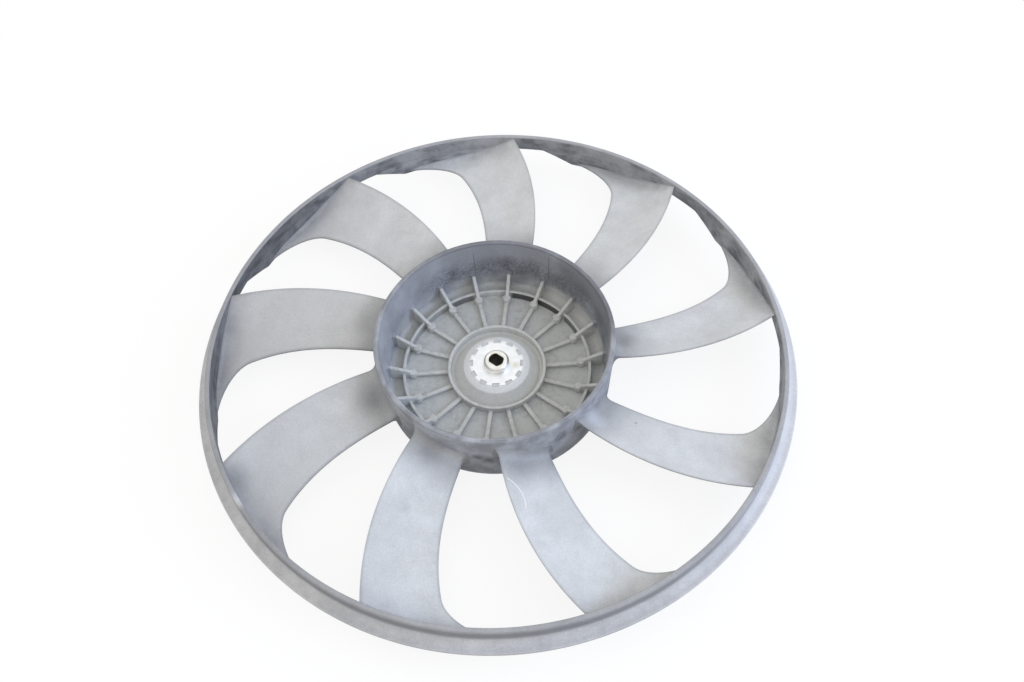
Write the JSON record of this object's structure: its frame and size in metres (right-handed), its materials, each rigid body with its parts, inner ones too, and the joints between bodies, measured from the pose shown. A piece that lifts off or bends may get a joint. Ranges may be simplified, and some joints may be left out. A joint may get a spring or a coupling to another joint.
{
  "type": "fan blade wheel",
  "caption": "Ring-type cooling fan wheel: swept blades from a deep cup hub with a ribbed floor out to a flanged ring, with a toothed plate and a double-flat bush for the shaft.",
  "frame": {"origin": "on the shaft axis, in the hub's closed front face, which is the lowest face of the part", "axes": "+Z along the shaft axis towards the hub's open side, where the motor sits; +X and +Y across the ring"},
  "size_m": [0.39, 0.39, 0.0468],
  "materials": {
    "wheel_plastic": "grey moulded plastic, dusty and stained by use",
    "plate_zinc": "bright zinc-plated stamped steel",
    "bush_metal": "turned steel with a warm yellow passivated tone"
  },
  "bodies": {
    "root": {"fan_wheel": "wheel_plastic", "hub_plate": "plate_zinc", "shaft_bush": "bush_metal"}
  },
  "joints": []
}
